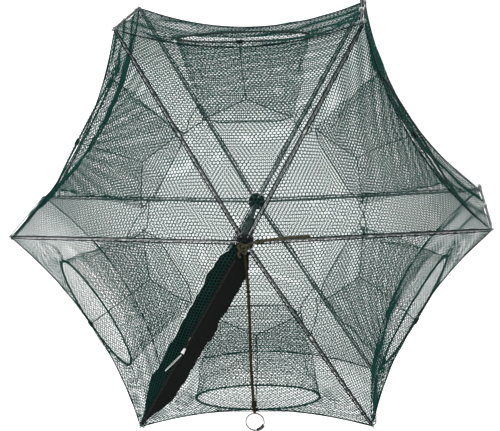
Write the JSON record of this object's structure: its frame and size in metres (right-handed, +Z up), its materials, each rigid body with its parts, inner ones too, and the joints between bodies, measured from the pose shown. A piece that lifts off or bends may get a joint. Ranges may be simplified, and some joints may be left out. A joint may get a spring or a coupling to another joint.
{
  "type": "folding crab trap",
  "caption": "Hexagonal umbrella-frame net trap with hooped funnel entries in its sides, a zipped top door and a pull rope with a split ring; the ribs fold down around the centre rod.",
  "frame": {"origin": "on the ground under the centre rod, at the middle of the six feet", "axes": "+Z up along the centre rod; +X through corner 1; corners are numbered anticlockwise seen from above; panel N lies between corners N and N+1; the zip is on rib 5"},
  "size_m": [0.8302, 0.723, 0.3278],
  "materials": {
    "black_plastic": "moulded black nylon, slightly glossy",
    "rib_steel": "drawn spring wire, dull grey with bright flats",
    "hoop_wire": "dark green coated wire",
    "green_net": "knotless polyethylene netting, dark green, 6.5 mm mesh",
    "funnel_net": "knotless polyethylene netting, dark green",
    "zip_tape": "black woven polyester with a coil zip",
    "zip_white": "white acetal",
    "olive_rope": "braided olive brown cord",
    "ring_steel": "bright zinc plated split ring"
  },
  "bodies": {
    "root": {"top_hub": "black_plastic", "bottom_hub": "black_plastic", "center_rod": "black_plastic", "rope_knot": "olive_rope"},
    "lock_collar": {"lock_collar": "black_plastic"},
    "top_rib_1": {"top_rib_1": "rib_steel"},
    "top_rib_2": {"top_rib_2": "rib_steel"},
    "top_rib_3": {"top_rib_3": "rib_steel"},
    "top_rib_4": {"top_rib_4": "rib_steel"},
    "top_rib_5": {"top_rib_5": "rib_steel", "zip_tape_left": "zip_tape", "zip_tape_right": "zip_tape"},
    "top_rib_6": {"top_rib_6": "rib_steel"},
    "bottom_rib_1": {"bottom_rib_1": "rib_steel"},
    "bottom_rib_2": {"bottom_rib_2": "rib_steel"},
    "bottom_rib_3": {"bottom_rib_3": "rib_steel"},
    "bottom_rib_4": {"bottom_rib_4": "rib_steel"},
    "bottom_rib_5": {"bottom_rib_5": "rib_steel"},
    "bottom_rib_6": {"bottom_rib_6": "rib_steel"},
    "corner_post_1": {"corner_post_1": "rib_steel"},
    "corner_post_2": {"corner_post_2": "rib_steel"},
    "corner_post_3": {"corner_post_3": "rib_steel"},
    "corner_post_4": {"corner_post_4": "rib_steel"},
    "corner_post_5": {"corner_post_5": "rib_steel"},
    "corner_post_6": {"corner_post_6": "rib_steel"},
    "top_net_1": {"top_net_1": "green_net"},
    "bottom_net_1": {"bottom_net_1": "green_net"},
    "side_1": {"side_net_1": "green_net", "funnel_net_1": "funnel_net", "entry_hoop_1": "hoop_wire"},
    "top_net_2": {"top_net_2": "green_net"},
    "bottom_net_2": {"bottom_net_2": "green_net"},
    "side_2": {"side_net_2": "green_net", "funnel_net_2": "funnel_net", "entry_hoop_2": "hoop_wire"},
    "top_net_3": {"top_net_3": "green_net"},
    "bottom_net_3": {"bottom_net_3": "green_net"},
    "side_3": {"side_net_3": "green_net", "funnel_net_3": "funnel_net", "entry_hoop_3": "hoop_wire"},
    "top_net_4": {"top_net_4": "green_net"},
    "bottom_net_4": {"bottom_net_4": "green_net"},
    "side_4": {"side_net_4": "green_net", "funnel_net_4": "funnel_net", "entry_hoop_4": "hoop_wire"},
    "top_net_5": {"top_net_5": "green_net"},
    "bottom_net_5": {"bottom_net_5": "green_net"},
    "side_5": {"side_net_5": "green_net", "funnel_net_5": "funnel_net", "entry_hoop_5": "hoop_wire"},
    "top_net_6": {"top_net_6": "green_net"},
    "bottom_net_6": {"bottom_net_6": "green_net"},
    "side_6": {"side_net_6": "green_net", "funnel_net_6": "funnel_net", "entry_hoop_6": "hoop_wire"},
    "zip_slider": {"zip_slider": "zip_white"},
    "zip_pull": {"zip_pull": "zip_white"},
    "pull_rope": {"pull_rope": "olive_rope"},
    "rope_tail": {"rope_tail": "olive_rope"},
    "pull_ring": {"pull_ring": "ring_steel"}
  },
  "joints": [
    {"name": "fold", "type": "hinge", "parent": "root", "child": "top_rib_1", "pos_m": [0.0115, 0, 0.308], "axis": [0, 1, 0], "range_deg": [0, 72], "deforming": ["top_net_1", "top_net_2", "top_net_3", "top_net_4", "top_net_5", "top_net_6", "bottom_net_1", "bottom_net_2", "bottom_net_3", "bottom_net_4", "bottom_net_5", "bottom_net_6", "side_net_1", "side_net_2", "side_net_3", "side_net_4", "side_net_5", "side_net_6", "funnel_net_1", "funnel_net_2", "funnel_net_3", "funnel_net_4", "funnel_net_5", "funnel_net_6", "entry_hoop_1", "entry_hoop_2", "entry_hoop_3", "entry_hoop_4", "entry_hoop_5", "entry_hoop_6", "zip_tape_left", "zip_tape_right"]},
    {"name": "top_rib_2_hinge", "type": "hinge", "parent": "root", "child": "top_rib_2", "pos_m": [0.00575, 0.00996, 0.308], "axis": [-0.866, 0.5, 0], "range_deg": [0, 72]},
    {"name": "top_rib_3_hinge", "type": "hinge", "parent": "root", "child": "top_rib_3", "pos_m": [-0.00575, 0.00996, 0.308], "axis": [-0.866, -0.5, 0], "range_deg": [0, 72]},
    {"name": "top_rib_4_hinge", "type": "hinge", "parent": "root", "child": "top_rib_4", "pos_m": [-0.0115, 0, 0.308], "axis": [0, -1, 0], "range_deg": [0, 72]},
    {"name": "top_rib_5_hinge", "type": "hinge", "parent": "root", "child": "top_rib_5", "pos_m": [-0.00575, -0.00996, 0.308], "axis": [0.866, -0.5, 0], "range_deg": [0, 72]},
    {"name": "top_rib_6_hinge", "type": "hinge", "parent": "root", "child": "top_rib_6", "pos_m": [0.00575, -0.00996, 0.308], "axis": [0.866, 0.5, 0], "range_deg": [0, 72]},
    {"name": "bottom_rib_1_hinge", "type": "hinge", "parent": "root", "child": "bottom_rib_1", "pos_m": [0.0115, 0, 0.058], "axis": [0, 1, 0], "range_deg": [0, 72]},
    {"name": "bottom_rib_2_hinge", "type": "hinge", "parent": "root", "child": "bottom_rib_2", "pos_m": [0.00575, 0.00996, 0.058], "axis": [-0.866, 0.5, 0], "range_deg": [0, 72]},
    {"name": "bottom_rib_3_hinge", "type": "hinge", "parent": "root", "child": "bottom_rib_3", "pos_m": [-0.00575, 0.00996, 0.058], "axis": [-0.866, -0.5, 0], "range_deg": [0, 72]},
    {"name": "bottom_rib_4_hinge", "type": "hinge", "parent": "root", "child": "bottom_rib_4", "pos_m": [-0.0115, 0, 0.058], "axis": [0, -1, 0], "range_deg": [0, 72]},
    {"name": "bottom_rib_5_hinge", "type": "hinge", "parent": "root", "child": "bottom_rib_5", "pos_m": [-0.00575, -0.00996, 0.058], "axis": [0.866, -0.5, 0], "range_deg": [0, 72]},
    {"name": "bottom_rib_6_hinge", "type": "hinge", "parent": "root", "child": "bottom_rib_6", "pos_m": [0.00575, -0.00996, 0.058], "axis": [0.866, 0.5, 0], "range_deg": [0, 72]},
    {"name": "corner_post_1_hinge", "type": "hinge", "parent": "top_rib_1", "child": "corner_post_1", "pos_m": [0.41, 0, 0.258], "axis": [0, 1, 0], "range_deg": [-72, 0]},
    {"name": "corner_post_2_hinge", "type": "hinge", "parent": "top_rib_2", "child": "corner_post_2", "pos_m": [0.205, 0.35507, 0.258], "axis": [-0.866, 0.5, 0], "range_deg": [-72, 0]},
    {"name": "corner_post_3_hinge", "type": "hinge", "parent": "top_rib_3", "child": "corner_post_3", "pos_m": [-0.205, 0.35507, 0.258], "axis": [-0.866, -0.5, 0], "range_deg": [-72, 0]},
    {"name": "corner_post_4_hinge", "type": "hinge", "parent": "top_rib_4", "child": "corner_post_4", "pos_m": [-0.41, 0, 0.258], "axis": [0, -1, 0], "range_deg": [-72, 0]},
    {"name": "corner_post_5_hinge", "type": "hinge", "parent": "top_rib_5", "child": "corner_post_5", "pos_m": [-0.205, -0.35507, 0.258], "axis": [0.866, -0.5, 0], "range_deg": [-72, 0]},
    {"name": "corner_post_6_hinge", "type": "hinge", "parent": "top_rib_6", "child": "corner_post_6", "pos_m": [0.205, -0.35507, 0.258], "axis": [0.866, 0.5, 0], "range_deg": [-72, 0]},
    {"name": "top_net_1_fold", "type": "hinge", "parent": "root", "child": "top_net_1", "pos_m": [0.00863, 0.00498, 0.3116], "axis": [-0.5, 0.866, 0], "range_deg": [0, 72]},
    {"name": "bottom_net_1_fold", "type": "hinge", "parent": "root", "child": "bottom_net_1", "pos_m": [0.00863, 0.00498, 0.0544], "axis": [-0.5, 0.866, 0], "range_deg": [0, 72]},
    {"name": "side_1_hang", "type": "hinge", "parent": "top_net_1", "child": "side_1", "pos_m": [0.27806, 0.16054, 0.26293], "axis": [-0.5, 0.866, 0], "range_deg": [-72, 0]},
    {"name": "top_net_2_fold", "type": "hinge", "parent": "root", "child": "top_net_2", "pos_m": [0, 0.00996, 0.3116], "axis": [-1, 0, 0], "range_deg": [0, 72]},
    {"name": "bottom_net_2_fold", "type": "hinge", "parent": "root", "child": "bottom_net_2", "pos_m": [0, 0.00996, 0.0544], "axis": [-1, 0, 0], "range_deg": [0, 72]},
    {"name": "side_2_hang", "type": "hinge", "parent": "top_net_2", "child": "side_2", "pos_m": [0, 0.32107, 0.26293], "axis": [-1, 0, 0], "range_deg": [-72, 0]},
    {"name": "top_net_3_fold", "type": "hinge", "parent": "root", "child": "top_net_3", "pos_m": [-0.00863, 0.00498, 0.3116], "axis": [-0.5, -0.866, 0], "range_deg": [0, 72]},
    {"name": "bottom_net_3_fold", "type": "hinge", "parent": "root", "child": "bottom_net_3", "pos_m": [-0.00863, 0.00498, 0.0544], "axis": [-0.5, -0.866, 0], "range_deg": [0, 72]},
    {"name": "side_3_hang", "type": "hinge", "parent": "top_net_3", "child": "side_3", "pos_m": [-0.27806, 0.16054, 0.26293], "axis": [-0.5, -0.866, 0], "range_deg": [-72, 0]},
    {"name": "top_net_4_fold", "type": "hinge", "parent": "root", "child": "top_net_4", "pos_m": [-0.00863, -0.00498, 0.3116], "axis": [0.5, -0.866, 0], "range_deg": [0, 72]},
    {"name": "bottom_net_4_fold", "type": "hinge", "parent": "root", "child": "bottom_net_4", "pos_m": [-0.00863, -0.00498, 0.0544], "axis": [0.5, -0.866, 0], "range_deg": [0, 72]},
    {"name": "side_4_hang", "type": "hinge", "parent": "top_net_4", "child": "side_4", "pos_m": [-0.27806, -0.16054, 0.26293], "axis": [0.5, -0.866, 0], "range_deg": [-72, 0]},
    {"name": "top_net_5_fold", "type": "hinge", "parent": "root", "child": "top_net_5", "pos_m": [0, -0.00996, 0.3116], "axis": [1, 0, 0], "range_deg": [0, 72]},
    {"name": "bottom_net_5_fold", "type": "hinge", "parent": "root", "child": "bottom_net_5", "pos_m": [0, -0.00996, 0.0544], "axis": [1, 0, 0], "range_deg": [0, 72]},
    {"name": "side_5_hang", "type": "hinge", "parent": "top_net_5", "child": "side_5", "pos_m": [0, -0.32107, 0.26293], "axis": [1, 0, 0], "range_deg": [-72, 0]},
    {"name": "top_net_6_fold", "type": "hinge", "parent": "root", "child": "top_net_6", "pos_m": [0.00863, -0.00498, 0.3116], "axis": [0.5, 0.866, 0], "range_deg": [0, 72]},
    {"name": "bottom_net_6_fold", "type": "hinge", "parent": "root", "child": "bottom_net_6", "pos_m": [0.00863, -0.00498, 0.0544], "axis": [0.5, 0.866, 0], "range_deg": [0, 72]},
    {"name": "side_6_hang", "type": "hinge", "parent": "top_net_6", "child": "side_6", "pos_m": [0.27806, -0.16054, 0.26293], "axis": [0.5, 0.866, 0], "range_deg": [-72, 0]},
    {"name": "collar_slide", "type": "slide", "parent": "root", "child": "lock_collar", "axis": [0, 0, 1], "range_m": [-0.115, 0.0025]},
    {"name": "zip_slide", "type": "slide", "parent": "top_rib_5", "child": "zip_slider", "axis": [-0.4961, -0.8593, -0.1245], "range_m": [-0.165, 0.095]},
    {"name": "zip_pull_swing", "type": "hinge", "parent": "zip_slider", "child": "zip_pull", "pos_m": [-0.12056, -0.20881, 0.28655], "axis": [-0.7203, 0.693, 0.0301], "range_deg": [0, 110]},
    {"name": "rope_droop", "type": "hinge", "parent": "root", "child": "pull_rope", "pos_m": [0, -0.0192, 0.3162], "axis": [1, 0, 0], "range_deg": [0, 72]},
    {"name": "tail_droop", "type": "hinge", "parent": "root", "child": "rope_tail", "pos_m": [0.01917, 0.001, 0.3162], "axis": [-0.0523, 0.9986, 0], "range_deg": [0, 72]},
    {"name": "ring_swing", "type": "hinge", "parent": "pull_rope", "child": "pull_ring", "pos_m": [0, -0.3266, 0.26923], "axis": [1, 0, 0], "range_deg": [-30, 75]}
  ],
  "couplings": [
    {"joint": "top_rib_2_hinge", "follows": "fold", "ratio": 1},
    {"joint": "top_rib_3_hinge", "follows": "fold", "ratio": 1},
    {"joint": "top_rib_4_hinge", "follows": "fold", "ratio": 1},
    {"joint": "top_rib_5_hinge", "follows": "fold", "ratio": 1},
    {"joint": "top_rib_6_hinge", "follows": "fold", "ratio": 1},
    {"joint": "bottom_rib_1_hinge", "follows": "fold", "ratio": 1},
    {"joint": "bottom_rib_2_hinge", "follows": "fold", "ratio": 1},
    {"joint": "bottom_rib_3_hinge", "follows": "fold", "ratio": 1},
    {"joint": "bottom_rib_4_hinge", "follows": "fold", "ratio": 1},
    {"joint": "bottom_rib_5_hinge", "follows": "fold", "ratio": 1},
    {"joint": "bottom_rib_6_hinge", "follows": "fold", "ratio": 1},
    {"joint": "corner_post_1_hinge", "follows": "fold", "ratio": -1},
    {"joint": "corner_post_2_hinge", "follows": "fold", "ratio": -1},
    {"joint": "corner_post_3_hinge", "follows": "fold", "ratio": -1},
    {"joint": "corner_post_4_hinge", "follows": "fold", "ratio": -1},
    {"joint": "corner_post_5_hinge", "follows": "fold", "ratio": -1},
    {"joint": "corner_post_6_hinge", "follows": "fold", "ratio": -1},
    {"joint": "top_net_1_fold", "follows": "fold", "ratio": 1},
    {"joint": "bottom_net_1_fold", "follows": "fold", "ratio": 1},
    {"joint": "side_1_hang", "follows": "fold", "ratio": -1},
    {"joint": "top_net_2_fold", "follows": "fold", "ratio": 1},
    {"joint": "bottom_net_2_fold", "follows": "fold", "ratio": 1},
    {"joint": "side_2_hang", "follows": "fold", "ratio": -1},
    {"joint": "top_net_3_fold", "follows": "fold", "ratio": 1},
    {"joint": "bottom_net_3_fold", "follows": "fold", "ratio": 1},
    {"joint": "side_3_hang", "follows": "fold", "ratio": -1},
    {"joint": "top_net_4_fold", "follows": "fold", "ratio": 1},
    {"joint": "bottom_net_4_fold", "follows": "fold", "ratio": 1},
    {"joint": "side_4_hang", "follows": "fold", "ratio": -1},
    {"joint": "top_net_5_fold", "follows": "fold", "ratio": 1},
    {"joint": "bottom_net_5_fold", "follows": "fold", "ratio": 1},
    {"joint": "side_5_hang", "follows": "fold", "ratio": -1},
    {"joint": "top_net_6_fold", "follows": "fold", "ratio": 1},
    {"joint": "bottom_net_6_fold", "follows": "fold", "ratio": 1},
    {"joint": "side_6_hang", "follows": "fold", "ratio": -1},
    {"joint": "rope_droop", "follows": "fold", "ratio": 1},
    {"joint": "tail_droop", "follows": "fold", "ratio": 1}
  ]
}
